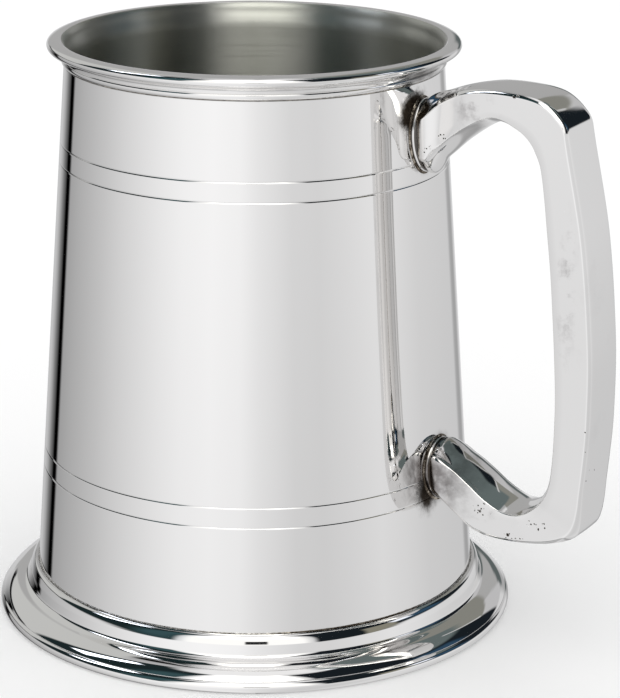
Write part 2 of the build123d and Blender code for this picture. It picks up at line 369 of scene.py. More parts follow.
def read_root(end):
    """The middle of a root on the drum, its plate's half sizes, and the plate's thickness."""
    low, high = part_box(end + "_root_plate")
    middle_z = (low.z + high.z) / 2
    half_height = (high.z - low.z) / 2 / math.cos(lean)
    centre = Vector((drum_radius(middle_z), 0, middle_z))
    thick = (Vector((high.x, 0, low.z)) - centre).dot(outward)
    print(f"{end} root at {middle_z / MM:.1f} mm, half sizes {high.y / MM:.2f} x {half_height / MM:.2f}")
    return Root(centre, high.y, half_height, thick)


upper_root = read_root("upper")
lower_root = read_root("lower")

# %% [markdown]
# The lathe serves here too. The outline of a plate or of a bead is a list of (distance beyond the
# plate's edge, height over the drum). A vertex bevel rounds its chosen corners before the spin, because
# a plate this thin shows nothing but its edge.
# %% Spin a ring and lay it on the drum
ROUNDING_SEGMENTS = 4


def soften(bm, verts, reach):
    """Round the given corners of a wire."""
    bmesh.ops.bevel(
        bm, geom=verts, offset=reach, offset_type="OFFSET", segments=ROUNDING_SEGMENTS,
        profile=0.5, affect="VERTICES", material=-1,
    )


def lay_on_drum(centre, across, along, height):
    """The point at a height over the drum, across and along the wall from the middle of a root."""
    z = centre.z + along * math.cos(lean)
    surface_x = math.sqrt(max(drum_radius(z) ** 2 - across**2, 0))
    return Vector((surface_x, across, z)) + outward * height


def root_ring(name, root, outline, corners, reach, steps=96):
    """Spin an outline of (distance beyond the plate's edge, height) and lay it on the drum."""
    bm = bmesh.new()
    verts = wire(bm, [(root.half_wide + beyond, height) for beyond, height in outline])
    soften(bm, [verts[i] for i in corners], reach)
    spin_round(bm, steps)
    bmesh.ops.remove_doubles(bm, verts=bm.verts[:], dist=MERGE_REACH)
    for vert in bm.verts:
        radius = vert.co.xy.length
        beyond = max(radius - root.half_wide, 0)
        turn = vert.co.xy / radius if radius > 0 else Vector((0, 0))
        share = min(radius / root.half_wide, 1)
        across = turn.x * (root.half_wide * share + beyond)
        along = turn.y * (root.half_high * share + beyond)
        vert.co = lay_on_drum(root.centre, across, along, vert.co.z)
    return finish_mesh(bm, name)


# %% [markdown]
# The plate is a rounded oval puck. Its top has to be flat, because the handle stands on it, while its
# underside follows the drum, so its height grows towards the sides by as much as the drum falls away.
# %% Make the plates and the solder
PLATE_SINK = 0.4 * MM
PLATE_EDGE = 0.42 * MM
SOLDER_SHARE = 0.55  # the bead is hollow-faced, so it looks narrower than the room it needs
LUMPS = (-0.02, 0.03)  # lowest and highest, in millimetres


def root_plate(end, root):
    """An oval puck with a rounded rim."""
    thick = root.thick
    outline = [
        (-root.half_wide, -PLATE_SINK), (-0.1 * MM, -PLATE_SINK), (0, 0), (0, thick),
        (-1.4 * MM, thick), (-root.half_wide, thick),
    ]
    plate = root_ring(end + "_root_collar", root, outline, (3,), PLATE_EDGE)
    top = root.centre + outward * thick
    for vertex in plate.data.vertices:
        standoff = (vertex.co - root.centre).dot(outward)
        radius = drum_radius(vertex.co.z)
        fall = radius - math.sqrt(radius**2 - vertex.co.y**2)
        share = min(max((standoff + fall) / thick, 0), 1)
        vertex.co += outward * fall * share
    print(f"{plate.name}: top at {top.x / MM:.2f} mm")
    return plate


def root_solder(end, root, seed):
    """An uneven bead of solder in the corner between the drum and a plate."""
    solder_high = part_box(end + "_root_solder")[1]
    reach = (solder_high.y - root.half_wide) * SOLDER_SHARE
    outline = [
        (-0.2 * MM, -0.2 * MM), (reach, -0.2 * MM), (reach, 0.01 * MM),
        (reach * 0.5, 0.05 * MM), (reach * 0.15, 0.16 * MM), (-0.2 * MM, 0.22 * MM),
    ]
    bead = root_ring(end + "_root_solder_bead", root, outline, (3, 4), 0.1 * MM, steps=160)
    lumps = random.Random(seed)
    for vertex in bead.data.vertices:
        vertex.co += outward * lumps.uniform(*LUMPS) * MM
    return bead


collars = {"upper": root_plate("upper", upper_root), "lower": root_plate("lower", lower_root)}
beads = {"upper": root_solder("upper", upper_root, 3), "lower": root_solder("lower", lower_root, 5)}

# %% [markdown]
# ## The handle
# The handle was cast in a hollow, two-part mould and then filed. It has flat sides, a nearly flat back
# with filed corners and a crowned grip. Its section changes all the way: deep at the roots, shallow over
# the arch. A sweep can't change its section like that, so the handle is a chain of closed loops that
# `bridge_loops` joins. Each loop is worked out from a few numbers that flow smoothly along the handle:
# the x and z of the back's edge and of the grip's edge, then the half width, the filed corner, the
# crown of the back, the crown of the grip and the inner corner, all in millimetres. The stations stand
# closer together where the handle turns more sharply.
# %% Stations along the handle
# half width, filed corner, crown of the back, crown of the grip, inner corner
BAR = (6.15, 0.6, 0.1, 1.6, 0.2)
# back x, back z, grip x, grip z
BACK_AND_GRIP = (
    (57.5, 117.25, 57.2, 111.9),
    (61.4, 117.2, 59.8, 111.6),
    (64.9, 116.9, 61.9, 110.7),
    (67.8, 116.2, 63.6, 109.8),
    (69.9, 115.0, 64.9, 108.8),
    (71.5, 113.6, 65.9, 107.7),
    (72.6, 112.4, 66.5, 106.8),
    (73.15, 111.4, 66.8, 106.2),
    (73.65, 109.2, 67.3, 105.2),
    (74.1, 107.0, 67.75, 104.2),
    (75.1, 102.5, 68.4, 101.4),
    (76.1, 98.0, 69.0, 97.5),
    (77.4, 91.5, 69.75, 91.5),
    (78.6, 83.0, 70.8, 83.0),
    (79.5, 74.0, 71.6, 74.0),
    (80.1, 65.5, 72.25, 65.5),
    (80.2, 57.0, 72.7, 57.0),
    (80.05, 50.0, 72.7, 50.0),
    (79.6, 44.0, 72.5, 44.2),
    (79.1, 38.5, 71.9, 39.2),
)
# all nine numbers, because the corner was filed rounder than the bar
LOWER_CORNER = (
    (78.9, 35.0, 71.1, 37.0, 6.15, 0.75, 0.1, 1.5, 0.2),
    (78.6, 32.2, 70.4, 35.9, 6.1, 1.1, 0.1, 1.4, 0.2),
    (78.1, 30.4, 69.9, 35.2, 6.05, 1.4, 0.1, 1.3, 0.2),
    (77.2, 29.2, 69.3, 34.6, 6.05, 1.5, 0.1, 1.2, 0.2),
    (75.6, 28.3, 68.4, 33.8, 6.05, 1.4, 0.1, 1.2, 0.2),
    (72.2, 27.2, 66.4, 32.5, 6.1, 1.0, 0.1, 1.2, 0.2),
    (67.4, 26.4, 64.5, 31.95, 6.15, 0.7, 0.1, 1.2, 0.2),
    (62.4, 26.1, 62.2, 32.0, 6.15, 0.6, 0.1, 1.2, 0.2),
    (57.8, 26.3, 59.8, 32.8, 6.15, 0.6, 0.2, 1.2, 0.2),
)
PLATE_PROUD = 0.28 * MM  # how far a plate's rim looks out round the handle's end


def root_station(root, back_side, corner, back_crown, grip_crown, inner, standoff=0.0, shrink=0.0):
    """The section that stands on a root plate. back_side is 1 where the back is above."""
    half_high = root.half_high - PLATE_PROUD - shrink * MM
    middle = root.centre + outward * (root.thick + standoff * MM)
    back = middle + up_wall * back_side * (half_high - back_crown * MM)
    grip = middle - up_wall * back_side * (half_high - grip_crown * MM)
    half_wide = (root.half_wide - PLATE_PROUD) / MM - shrink
    numbers = (back.x / MM, back.z / MM, grip.x / MM, grip.z / MM)
    return Vector((*numbers, half_wide, corner, back_crown, grip_crown, inner))


stations = [
    root_station(upper_root, 1, 1.5, 1.4, 2.5, 1.2, shrink=0.15),
    root_station(upper_root, 1, 1.6, 1.5, 2.6, 1.2, standoff=0.15),
    Vector((45.6, 114.3, 45.2, 104.2, 5.25, 1.2, 0.9, 2.7, 0.8)),
    Vector((50.9, 116.4, 50.3, 108.4, 5.95, 0.7, 0.5, 2.4, 0.35)),
    *[Vector((*edges, *BAR)) for edges in BACK_AND_GRIP],
    *[Vector(numbers) for numbers in LOWER_CORNER],
    Vector((54.6, 27.2, 57.2, 34.2, 6.15, 0.6, 0.4, 1.2, 0.2)),
    Vector((51.4, 29.2, 54.0, 36.5, 6.1, 0.7, 0.6, 1.3, 0.3)),
    Vector((48.4, 31.1, 50.0, 39.0, 5.95, 0.9, 0.9, 1.4, 0.4)),
    root_station(lower_root, -1, 1.4, 1.7, 1.8, 1.0, standoff=0.15),
    root_station(lower_root, -1, 1.3, 1.6, 1.7, 1.0, shrink=0.15),
]
print("handle stations:", len(stations))

# %% [markdown]
# Between the stations every number follows a cubic curve whose slope at a station is the weighted mean
# of the slopes on both sides. That keeps the highlights on the flat sides running without a kink. Such
# a curve can swing a little past its stations, so the half width is held to the bar's.
# %% Flow between the stations
LOOP_GAP = 0.8
LEAST_GAP = 0.1


def station_gap(first, second):
    """Distance between the middles of two stations, in millimetres."""
    first_ends = Vector(first[:2]) + Vector(first[2:4])
    second_ends = Vector(second[:2]) + Vector(second[2:4])
    return max(((first_ends - second_ends) / 2).length, LEAST_GAP)


def slope_at(i, gaps):
    """How fast a station's numbers change there, per millimetre."""
    if i == 0 or i == len(stations) - 1:
        inner = max(i - 1, 0)
        return (stations[inner + 1] - stations[inner]) / gaps[inner]
    rate_in = (stations[i] - stations[i - 1]) / gaps[i - 1]
    rate_out = (stations[i + 1] - stations[i]) / gaps[i]
    return (rate_in * gaps[i] + rate_out * gaps[i - 1]) / (gaps[i] + gaps[i - 1])


def flow():
    """Every section's numbers, from the upper root to the lower one."""
    gaps = [station_gap(*pair) for pair in zip(stations, stations[1:])]
    sections = []
    for i, gap in enumerate(gaps):
        leaving, arriving = slope_at(i, gaps) * gap, slope_at(i + 1, gaps) * gap
        steps = max(1, math.ceil(gap / LOOP_GAP))
        for step in range(steps):
            t = step / steps
            mix = 3 * t**2 - 2 * t**3
            bend = leaving * (t - 2 * t**2 + t**3) + arriving * (t**3 - t**2)
            section = stations[i] * (1 - mix) + stations[i + 1] * mix + bend
            section[4] = min(section[4], BAR[0])
            sections.append(section)
    return sections + [stations[-1]]


sections = flow()
print("handle sections:", len(sections))

# %% [markdown]
# One half of a section runs from the middle of the back, over the filed corner, down the flat side and
# round to the crest of the grip. The other half is its mirror image. The side gets a holding point
# near the filed corner, for the same reason as the lathe profiles. The exponent FILED shapes that
# corner: 1 would make it round, and 2 a flat bevel with two sharp edges. A file leaves it in between.
# %% Shape of one section
FILED = 1.7
SIDE_HOLD = 0.3
BACK_STEPS = 6
FILED_STEPS = 10
SIDE_STEPS = 4
INNER_STEPS = 4
GRIP_STEPS = 9


def half_section(depth, half_width, corner, back_crown, grip_crown, inner):
    """Points (inwards, across) in millimetres from the middle of the back to the crest of the grip."""
    flat = half_width - corner
    back = [
        (-back_crown * (1 - (s / BACK_STEPS) ** 2), flat * s / BACK_STEPS)
        for s in range(BACK_STEPS)
    ]
    filed = [
        (corner * (1 - math.cos(a) ** FILED), flat + corner * math.sin(a) ** FILED)
        for a in [math.pi / 2 * s / FILED_STEPS for s in range(FILED_STEPS + 1)]
    ]
    side_end = depth - inner
    side_start = corner + SIDE_HOLD
    side = [
        (side_start + (side_end - side_start) * s / SIDE_STEPS, half_width)
        for s in range(SIDE_STEPS + 1)
    ]
    turned = [
        (side_end + inner * math.sin(a), half_width - inner * (1 - math.cos(a)))
        for a in [math.pi / 2 * s / INNER_STEPS for s in range(1, INNER_STEPS)]
    ]
    edge = half_width - inner
    to_crest = [1 - s / GRIP_STEPS for s in range(GRIP_STEPS + 1)]
    grip = [(depth + grip_crown * (1 - share**2), edge * share) for share in to_crest]
    return back + filed + side + turned + grip


def section_loop(numbers):
    """The closed loop of a section, placed in the frame."""
    back = Vector((numbers[0], 0, numbers[1])) * MM
    grip = Vector((numbers[2], 0, numbers[3])) * MM
    inward = (grip - back).normalized()
    half = half_section((grip - back).length / MM, *numbers[4:])
    whole = half + [(u, -v) for u, v in half[-2:0:-1]]
    return [back + inward * u * MM + Vector((0, v * MM, 0)) for u, v in whole]


print("points round a section:", len(section_loop(sections[0])))

# %% [markdown]
# Every loop has the same number of points, so `bridge_loops` can join each one to the next with a ring
# of quads. The two end loops are filled, which closes the skin where it stands on the root plates.
# %% Bridge the loops into the handle
FILED_FOLD = math.radians(40)

bm = bmesh.new()
loops = []
for numbers in sections:
    verts = [bm.verts.new(point) for point in section_loop(numbers)]
    loops.append([bm.edges.new(pair) for pair in zip(verts, verts[1:] + verts[:1])])
for near_loop, far_loop in zip(loops, loops[1:]):
    bmesh.ops.bridge_loops(bm, edges=near_loop + far_loop)
for end_loop in (loops[0], loops[-1]):
    bmesh.ops.edgeloop_fill(bm, edges=end_loop)
handle = finish_mesh(bm, "handle_casting_filed", FILED_FOLD)

# %% [markdown]
# ## Camera
# The camera stands well back with a long lens, a little above the mouth, so that the drum hardly
# narrows and the ellipse of the mouth stays shallow. The tankard's handle points to the right and a
# little towards the viewer.
# %% Set up the camera
CAMERA_TURN = math.radians(32)
CAMERA_REACH = 550.4 * MM
CAMERA_HEIGHT = 226.6 * MM
TILT_DOWN = math.radians(17.62)
PAN_RIGHT = math.radians(1.205)
ROLL = math.radians(0.29)

camera = bpy.data.objects.new("camera", bpy.data.cameras.new("camera"))
bpy.context.scene.collection.objects.link(camera)
camera.data.lens = 141.56
camera.data.sensor_width = 36
camera.data.shift_y = 0.0175
camera.data.clip_start = 0.01
camera.location = (
    math.sin(CAMERA_TURN) * CAMERA_REACH, -math.cos(CAMERA_TURN) * CAMERA_REACH, CAMERA_HEIGHT
)
turn_z = Matrix.Rotation(CAMERA_TURN - PAN_RIGHT, 4, "Z")
turn_x = Matrix.Rotation(math.pi / 2 - TILT_DOWN, 4, "X")
turn_roll = Matrix.Rotation(ROLL, 4, "Z")
camera.rotation_euler = (turn_z @ turn_x @ turn_roll).to_euler()
bpy.context.scene.camera = camera
print("camera at", [round(v, 3) for v in camera.location], "with a lens of", camera.data.lens)

# %% [markdown]
# ## Finishes
# All the pieces are the same metal in four states: polished, cast and filed, left satin inside, and
# soldered. Bright pewter reflects about 85% of the light, slightly warm. What tells the states apart is
# roughness, and small damage: polishing scratches, pits, fingerprints and the brown-black deposit that
# polish leaves where a cloth can't reach. Each kind of damage is a node group, built once and placed in
# every material that needs it, so its scale in millimetres is the same on every piece.
#
# The next helpers keep the node trees readable. Each adds one node and returns its result, and an
# input may be a number or the result of another helper.
# %% Small helpers for node trees
def put(tree, kind, settings=None, sockets=None):
    """Add a node, set its properties, and set or link its inputs, given by name or number."""
    node = tree.nodes.new("ShaderNode" + kind)
    for key, value in (settings or {}).items():
        setattr(node, key, value)
    for key, value in (sockets or {}).items():
        if isinstance(value, bpy.types.NodeSocket):
            tree.links.new(value, node.inputs[key])
        else:
            node.inputs[key].default_value = value
    return node


def calc(tree, operation, first, second=0.0, clamp=False):
    """A Math node's result."""
    return put(tree, "Math", {"operation": operation, "use_clamp": clamp}, {0: first, 1: second}).outputs[0]


def ramp_between(tree, value, start, end, low=0.0, high=1.0):
    """A value carried smoothly from low at start to high at end."""
    sockets = {"Value": value, "From Min": start, "From Max": end, "To Min": low, "To Max": high}
    return put(tree, "MapRange", {"interpolation_type": "SMOOTHSTEP"}, sockets).outputs["Result"]


def mix_colours(tree, mask, under, over):
    """The colour under, covered by the colour over where the mask is 1."""
    return put(tree, "Mix", {"data_type": "RGBA"}, {0: mask, 6: under, 7: over}).outputs[2]


def laid_over(tree, colour, mask, share, over):
    """A colour with another over it, at a share of the mask's strength."""
    return mix_colours(tree, calc(tree, "MULTIPLY", mask, share, clamp=True), colour, over)


def add_shares(tree, base, *parts):
    """A base number plus each part's value times its share."""
    total = base
    for value, share in parts:
        total = calc(tree, "ADD", calc(tree, "MULTIPLY", value, share), total)
    return total


def stretched(tree, vector, scale, centre, turn=(0, 0, 0)):
    """The vector moved so that centre is its origin, then scaled and turned."""
    moved = put(tree, "VectorMath", {"operation": "SUBTRACT"}, {0: vector, 1: centre}).outputs[0]
    mapping = {"Vector": moved, "Rotation": turn, "Scale": scale}
    return put(tree, "Mapping", {"vector_type": "POINT"}, mapping).outputs[0]


def noise(tree, vector, scale, detail, roughness=0.5):
    """The value of a Noise texture."""
    sockets = {"Vector": vector, "Scale": scale, "Detail": detail, "Roughness": roughness}
    return put(tree, "TexNoise", None, sockets).outputs[0]


# %% [markdown]
# A node group has sockets of its own. In this version of Blender they are made on the group's
# `interface`, and a group gives out only numbers and colours: the shader stays in the material.
# %% Make and place a node group
def new_group(name, inputs, outputs):
    """An empty node group. inputs are names with defaults; a None default makes a vector."""
    group = bpy.data.node_groups.new(name, "ShaderNodeTree")
    for socket_name, default in inputs.items():
        kind = "NodeSocketVector" if default is None else "NodeSocketFloat"
        socket = group.interface.new_socket(socket_name, in_out="INPUT", socket_type=kind)
        if default is not None:
            socket.default_value = default
    for socket_name in outputs:
        group.interface.new_socket(socket_name, in_out="OUTPUT", socket_type="NodeSocketFloat")
    inside = group.nodes.new("NodeGroupInput").outputs
    result = group.nodes.new("NodeGroupOutput").inputs
    return group, inside, result


def use_group(tree, group, **sockets):
    """Place a group in a tree and return its outputs."""
    node = tree.nodes.new("ShaderNodeGroup")
    node.node_tree = group
    for key, value in sockets.items():
        if isinstance(value, bpy.types.NodeSocket):
            tree.links.new(value, node.inputs[key])
        else:
            node.inputs[key].default_value = value
    return node.outputs


# %% [markdown]
# Scratches are long thin ridges of a noise that is squeezed in one direction. Three sets that cross at
# different angles look like wiping, where one set looks like wood grain. Only the thin band where the
# noise passes its middle value is kept, so a scratch is a line and not a blot. The marks of the lathe
# are a noise too, squeezed so far along Z that it becomes rings.
# %% Scratches and turned lines
# how each set of scratches is turned, and how far it is moved so that no two are alike
SCRATCH_SETS = (((0.2, 0.5, 0.3), 0.0), ((1.1, -0.4, 2.0), 3.7), ((-0.5, 0.9, 1.2), 8.1))
SCRATCH_HALF = 0.012


def build_scratches():
    """Fine crossing scratches. Mask is 1 in a scratch."""
    group, inside, result = new_group("fine_scratches", {"Vector": None, "Amount": 0.5}, ("Mask",))
    found = None
    for turn, shift in SCRATCH_SETS:
        line_space = stretched(group, inside["Vector"], (90, 1500, 1500), (shift, 0, 0), turn)
        off_middle = calc(group, "SUBTRACT", noise(group, line_space, 1.0, 1.0), 0.5)
        line = ramp_between(group, calc(group, "ABSOLUTE", off_middle), 0.0, SCRATCH_HALF, 1, 0)
        patch_space = stretched(group, inside["Vector"], (40, 40, 40), (shift, 1, 0), turn)
        patch = ramp_between(group, noise(group, patch_space, 1.0, 2.0), 0.52, 0.72)
        mask = calc(group, "MULTIPLY", line, patch)
        found = mask if found is None else calc(group, "MAXIMUM", found, mask)
    group.links.new(calc(group, "MULTIPLY", found, inside["Amount"], clamp=True), result["Mask"])
    return group


def build_turned_lines():
    """The marks that a lathe tool leaves. Height changes along Z, and hardly at all round it."""
    group, inside, result = new_group("turned_lines", {"Vector": None, "Lines": 1500.0}, ("Height",))
    squeeze = put(group, "CombineXYZ", None, {"X": 6.0, "Y": 6.0, "Z": inside["Lines"]}).outputs[0]
    sockets = {0: inside["Vector"], 1: squeeze}
    rings = put(group, "VectorMath", {"operation": "MULTIPLY"}, sockets).outputs[0]
    group.links.new(noise(group, rings, 1.0, 3.0, 0.65), result["Height"])
    return group


SCRATCHES = build_scratches()
TURNED_LINES = build_turned_lines()
print("groups:", SCRATCHES.name, TURNED_LINES.name)

# %% [markdown]
# Fingerprints and dried polish are a cloudy film: it hardly changes the colour, but it breaks up the
# reflection. Casting pits are the round ends of gas bubbles which filing has opened. They come in
# clusters, so a slow noise decides where they are allowed, and a Voronoi texture makes them round.
# %% Smudges and pits
def build_smudges():
    """A cloudy film. Mask is 1 where it is thickest."""
    group, inside, result = new_group("smudges", {"Vector": None, "Size": 60.0, "Cover": 0.5}, ("Mask",))
    cloud = noise(group, inside["Vector"], inside["Size"], 6.0, 0.62)
    start = calc(group, "SUBTRACT", 0.78, calc(group, "MULTIPLY", inside["Cover"], 0.4))
    end = calc(group, "ADD", start, 0.22)
    group.links.new(ramp_between(group, cloud, start, end), result["Mask"])
    return group


def build_pits():
    """Round pits in clusters. Pit is 1 inside a pit."""
    group, inside, result = new_group(
        "casting_pits", {"Vector": None, "Density": 900.0, "Cover": 0.3}, ("Pit",)
    )
    cells = put(
        group, "TexVoronoi", {"feature": "F1"},
        {"Vector": inside["Vector"], "Scale": inside["Density"], "Randomness": 1.0},
    )
    pit = ramp_between(group, cells.outputs["Distance"], 0.2, 0.38, 1, 0)
    pick = put(group, "SeparateColor", None, {0: cells.outputs["Color"]}).outputs[0]
    chosen = calc(group, "LESS_THAN", pick, inside["Cover"])
    group.links.new(calc(group, "MULTIPLY", pit, chosen), result["Pit"])
    return group


def build_near_point():
    """A soft round region. Mask is 1 at its middle and 0 past its reach, with a ragged edge."""
    group, inside, result = new_group("near_point", {"Vector": None, "Ragged": 0.5}, ("Mask",))
    distance = put(group, "VectorMath", {"operation": "LENGTH"}, {0: inside["Vector"]}).outputs["Value"]
    off_middle = calc(group, "SUBTRACT", noise(group, inside["Vector"], 3.0, 5.0, 0.65), 0.5)
    ragged = calc(group, "ADD", distance, calc(group, "MULTIPLY", off_middle, inside["Ragged"]))
    group.links.new(ramp_between(group, ragged, 0.0, 1.0, 1, 0), result["Mask"])
    return group


SMUDGES = build_smudges()
PITS = build_pits()
NEAR_POINT = build_near_point()
print("groups:", SMUDGES.name, PITS.name, NEAR_POINT.name)

# %% [markdown]
# A metal is a Principled shader with Metallic at 1, a base colour that is its reflectance, and hardly
# any roughness. The functions below are the part that all the finishes share. The colour and roughness
# arrive as links because they change over the surface, and Metallic stays a plain number.
# %% The shared metal
BRIGHT = (0.875, 0.865, 0.855, 1)
DEPOSIT = (0.035, 0.026, 0.018, 1)


def new_metal(name):
    """A material with a metallic Principled shader. Returns it, its tree, the shader and the place."""
    material = bpy.data.materials.new(name)
    material.use_nodes = True
    tree = material.node_tree
    shader = tree.nodes["Principled BSDF"]
    shader.inputs["Metallic"].default_value = 1.0
    place = put(tree, "TexCoord").outputs["Object"]
    return material, tree, shader, place


def connect(tree, shader, colour, roughness, height, depth):
    """Give the shader its colour, roughness and the bump of a height in metres."""
    tree.links.new(colour, shader.inputs["Base Color"])
    tree.links.new(roughness, shader.inputs["Roughness"])
    bump = put(tree, "Bump", None, {"Strength": 1.0, "Distance": depth, "Height": height})
    tree.links.new(bump.outputs["Normal"], shader.inputs["Normal"])


def near(tree, place, centre, reach, ragged):
    """A mask round a centre that fades out at the reach, both in metres."""
    from_centre = stretched(tree, place, tuple(1 / r for r in reach), centre)
    return use_group(tree, NEAR_POINT, Vector=from_centre, Ragged=ragged)["Mask"]


def strongest(tree, masks):
    """The largest of several masks."""
    top = masks[0]
    for mask in masks[1:]:
        top = calc(tree, "MAXIMUM", top, mask)
    return top


print("bright pewter reflects", BRIGHT[:3], "and the deposit", DEPOSIT[:3])

# %% [markdown]
# The deposit gathers where the cloth couldn't go: round both roots, in the cove of the mouth above the
# handle, and along the seams. Each place is a mask that fades out raggedly. One kind is a band at a
# height, and another follows the edge of a root's plate.
# %% Masks for the places that a cloth can't reach
UPPER = tuple(upper_root.centre)
LOWER = tuple(lower_root.centre)
STAIN_TURN = math.radians(-33)
STAIN_REACH = 24 * MM


def fade_in_z(tree, place, z, reach, ragged, strength):
    """A deposit that clings to a line round the tankard at one height."""
    height = put(tree, "SeparateXYZ", None, {0: place}).outputs["Z"]
    away = calc(tree, "ABSOLUTE", calc(tree, "SUBTRACT", height, z))
    rag = calc(tree, "MULTIPLY", noise(tree, place, 260.0, 6.0, 0.7), ragged * reach * 2)
    return ramp_between(tree, calc(tree, "ADD", away, rag), 0.0, reach, strength, 0)


def round_root(tree, place, root, reach):
    """Full strength at the edge of a root's plate, and nothing past the reach."""
    wide, high = root.half_wide + reach, root.half_high + reach
    mask = near(tree, place, tuple(root.centre), (9 * MM, wide, high), 0.3)
    return ramp_between(tree, mask, 0.0, reach / high * 1.3)


def under_handle(tree, place):
    """The side of the foot's seam, left of the handle, where the cloth never got in."""
    spoke = Vector((math.cos(STAIN_TURN), math.sin(STAIN_TURN), 0)) * drum_bottom_r
    middle = (spoke.x, spoke.y, foot_high.z)
    return near(tree, place, middle, (STAIN_REACH, STAIN_REACH, STAIN_REACH), 0.4)


print(f"the foot's seam is darkest within {STAIN_REACH / MM:.0f} mm of a place left of the handle")

# %% [markdown]
# These three lists say where each polished piece keeps its deposit.
# %% Deposit on the drum, the mouth and the foot
def drum_deposit(tree, place):
    """Round the roots and along both seams."""
    above = (UPPER[0], -2.5 * MM, UPPER[2] + 4.5 * MM)
    below = (LOWER[0], -4.5 * MM, LOWER[2] - 4.0 * MM)
    return [
        round_root(tree, place, upper_root, 1.6 * MM),
        round_root(tree, place, lower_root, 2.2 * MM),
        ramp_between(tree, near(tree, place, above, (9 * MM, 7.5 * MM, 6.5 * MM), 0.6), 0.0, 0.5),
        ramp_between(tree, near(tree, place, below, (9 * MM, 6.0 * MM, 6.5 * MM), 0.6), 0.0, 0.8),
        calc(
            tree, "MULTIPLY", fade_in_z(tree, place, foot_high.z, 1.3 * MM, 0.7, 1.0),
            ramp_between(tree, under_handle(tree, place), 0.0, 0.5, 0.12, 1.0),
        ),
        fade_in_z(tree, place, seam_low.z, 0.25 * MM, 0.3, 0.8),
    ]


def mouth_deposit(tree, place):
    """In the cove above the handle, and a trace along the seam."""
    above = (mouth_high.x - 1.5 * MM, 0, mouth_low.z + 1.6 * MM)
    return [
        calc(tree, "MULTIPLY", near(tree, place, above, (7 * MM, 13 * MM, 3.0 * MM), 0.7), 0.85),
        fade_in_z(tree, place, mouth_low.z + 1.9 * MM, 0.22 * MM, 0.3, 0.6),
        fade_in_z(tree, place, mouth_low.z, 0.2 * MM, 0.3, 0.6),
    ]


def foot_deposit(tree, place):
    """Along the seam and in the edge's groove."""
    seam = fade_in_z(tree, place, foot_high.z, 0.5 * MM, 0.6, 1.0)
    return [
        calc(tree, "MULTIPLY", seam, ramp_between(tree, under_handle(tree, place), 0.0, 0.5, 0.25, 1.0)),
        fade_in_z(tree, place, edge_groove[1], 0.12 * MM, 0.3, 0.6),
    ]


# %% [markdown]
# Polished pewter is almost a mirror. Its roughness rises a little in the scratches and smudges, and far
# more in the deposit, which is dull. A very faint ripple in the surface makes the reflections of
# straight edges waver, as they do on soft metal that was buffed by hand.
# %% Polished pewter
SMUDGED = (0.74, 0.73, 0.72, 1)


def polished_pewter(name, masks, roughness=0.03):
    """Mirror metal with faint scratches and smudges. masks(tree, place) returns the deposit's masks."""
    material, tree, shader, place = new_metal(name)
    scratch = use_group(tree, SCRATCHES, Vector=place, Amount=0.5)["Mask"]
    smudge = use_group(tree, SMUDGES, Vector=place, Size=34.0, Cover=0.42)["Mask"]
    stain = strongest(tree, masks(tree, place))
    colour = laid_over(tree, BRIGHT, smudge, 0.16, SMUDGED)
    colour = mix_colours(tree, stain, colour, DEPOSIT)
    rough = add_shares(tree, roughness, (scratch, 0.10), (smudge, 0.05), (stain, 0.5))
    height = add_shares(tree, 0.0, (noise(tree, place, 45.0, 1.0), 0.3), (scratch, -0.004))
    connect(tree, shader, colour, rough, height, 0.05 * MM)
    return material


drum_metal = polished_pewter("polished_pewter_drum", drum_deposit)
mouth_metal = polished_pewter("polished_pewter_mouth", mouth_deposit, 0.07)
foot_metal = polished_pewter("polished_pewter_foot", foot_deposit)
print("finishes:", drum_metal.name, mouth_metal.name, foot_metal.name)

# %% [markdown]
# The bore was turned and left. Under a lens it is a stack of tiny rings, so it is far smoother round
# the drum than along it: a highlight is drawn out up and down into a streak. That is anisotropy, and
# a tangent that runs round the Z axis tells the shader which way the rings go.
# %% Satin bore
SATIN_GREY = (0.60, 0.60, 0.555, 1)
SATIN_GREEN = (0.48, 0.49, 0.44, 1)


def satin_pewter(name):
    """Ring-turned metal, a little green from use."""
    material, tree, shader, place = new_metal(name)
    rings = use_group(tree, TURNED_LINES, Vector=place, Lines=2600.0)["Height"]
    film = use_group(tree, SMUDGES, Vector=place, Size=28.0, Cover=0.7)["Mask"]
    scratch = use_group(tree, SCRATCHES, Vector=place, Amount=1.0)["Mask"]
    colour = laid_over(tree, SATIN_GREY, film, 0.5, SATIN_GREEN)
    rough = add_shares(tree, ramp_between(tree, rings, 0.3, 0.7, 0.35, 0.43), (scratch, 0.08))
    connect(tree, shader, colour, rough, rings, 0.004 * MM)
    shader.inputs["Anisotropic"].default_value = 0.95
    shader.inputs["Anisotropic Rotation"].default_value = 0.25
    around = put(tree, "Tangent", {"direction_type": "RADIAL", "axis": "Z"})
    tree.links.new(around.outputs["Tangent"], shader.inputs["Tangent"])
    return material


bore_metal = satin_pewter("satin_pewter_bore")
print("finish:", bore_metal.name)

